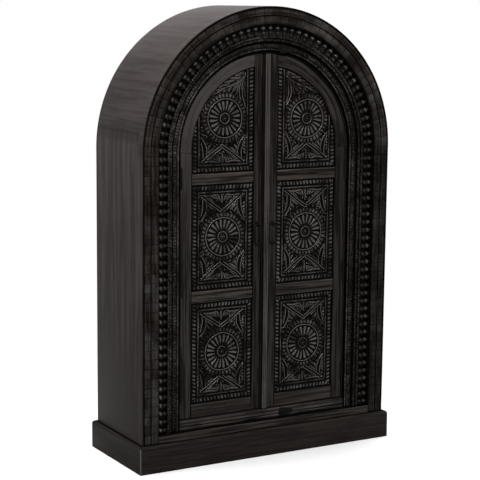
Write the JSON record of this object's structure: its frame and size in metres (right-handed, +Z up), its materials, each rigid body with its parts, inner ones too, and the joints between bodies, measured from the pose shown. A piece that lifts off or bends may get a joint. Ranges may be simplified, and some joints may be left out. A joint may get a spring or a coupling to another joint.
{
  "type": "cabinet",
  "caption": "Arch-topped wooden cabinet with carved rosette doors, brick-carved and spindled arch frame, ring pulls, turn buttons and a skirting plinth.",
  "frame": {"origin": "on the floor, at the middle of the plinth's footprint", "axes": "+X to the right as one faces the doors, +Y to the back, +Z up; at rest the doors are closed and face -Y"},
  "size_m": [1.182, 0.46, 1.8289],
  "materials": {
    "carved_wood": "dark stain, rubbed through on the carving",
    "plain_wood": "dark stain, satin",
    "inner_wood": "dark stain, matt",
    "dark_iron": "blackened"
  },
  "bodies": {
    "cabinet": {"arch_brick_board": "carved_wood", "arch_head": "inner_wood", "arch_moulding": "carved_wood", "arch_spindles": "carved_wood", "back_panel": "inner_wood", "back_skirting": "plain_wood", "bent_top_board": "plain_wood", "bottom_moulding": "carved_wood", "button_rivets": "dark_iron", "floor_board": "inner_wood", "front_skirting": "plain_wood", "left_brick_board": "carved_wood", "left_hinge_frame_halves": "dark_iron", "left_hinge_pins": "dark_iron", "left_jamb": "inner_wood", "left_moulding": "carved_wood", "left_side_board": "plain_wood", "left_skirting": "plain_wood", "left_spindles": "carved_wood", "lower_shelf": "inner_wood", "middle_shelf": "inner_wood", "right_brick_board": "carved_wood", "right_hinge_frame_halves": "dark_iron", "right_hinge_pins": "dark_iron", "right_jamb": "inner_wood", "right_moulding": "carved_wood", "right_side_board": "plain_wood", "right_skirting": "plain_wood", "right_spindles": "carved_wood", "shelf_cleats": "inner_wood", "sill": "plain_wood", "threshold_rail": "inner_wood", "upper_shelf": "inner_wood"},
    "left_door": {"left_door_arched_rail": "plain_wood", "left_door_bottom_panel": "carved_wood", "left_door_bottom_rail": "plain_wood", "left_door_hinge_stile": "plain_wood", "left_door_lower_rail": "plain_wood", "left_door_meeting_stile": "plain_wood", "left_door_middle_panel": "carved_wood", "left_door_top_panel": "carved_wood", "left_door_upper_rail": "plain_wood", "left_hinge_door_halves": "dark_iron", "left_pull_post": "dark_iron"},
    "right_door": {"right_door_arched_rail": "plain_wood", "right_door_astragal": "carved_wood", "right_door_bottom_panel": "carved_wood", "right_door_bottom_rail": "plain_wood", "right_door_hinge_stile": "plain_wood", "right_door_lower_rail": "plain_wood", "right_door_meeting_stile": "plain_wood", "right_door_middle_panel": "carved_wood", "right_door_top_panel": "carved_wood", "right_door_upper_rail": "plain_wood", "right_hinge_door_halves": "dark_iron", "right_pull_post": "dark_iron"},
    "left_bail": {"left_bail": "dark_iron"},
    "right_bail": {"right_bail": "dark_iron"},
    "top_button": {"top_turn_button": "dark_iron"},
    "bottom_button": {"bottom_turn_button": "dark_iron"}
  },
  "joints": [
    {"name": "left_door_hinge", "type": "hinge", "parent": "cabinet", "child": "left_door", "pos_m": [-0.385, -0.1738, 0.746], "axis": [0, 0, -1], "range_deg": [0, 110]},
    {"name": "right_door_hinge", "type": "hinge", "parent": "cabinet", "child": "right_door", "pos_m": [0.385, -0.1738, 0.746], "axis": [0, 0, 1], "range_deg": [0, 110]},
    {"name": "left_bail_swing", "type": "hinge", "parent": "left_door", "child": "left_bail", "pos_m": [-0.0346, -0.175, 0.958], "axis": [-1, 0, 0], "range_deg": [0, 120]},
    {"name": "right_bail_swing", "type": "hinge", "parent": "right_door", "child": "right_bail", "pos_m": [0.0346, -0.175, 0.958], "axis": [-1, 0, 0], "range_deg": [0, 120]},
    {"name": "top_button_turn", "type": "hinge", "parent": "cabinet", "child": "top_button", "pos_m": [0.06398, -0.1808, 1.65996], "axis": [0, 1, 0], "range_deg": [0, 138]},
    {"name": "bottom_button_turn", "type": "hinge", "parent": "cabinet", "child": "bottom_button", "pos_m": [0.09, -0.1808, 0.163], "axis": [0, -1, 0], "range_deg": [0, 90]}
  ]
}
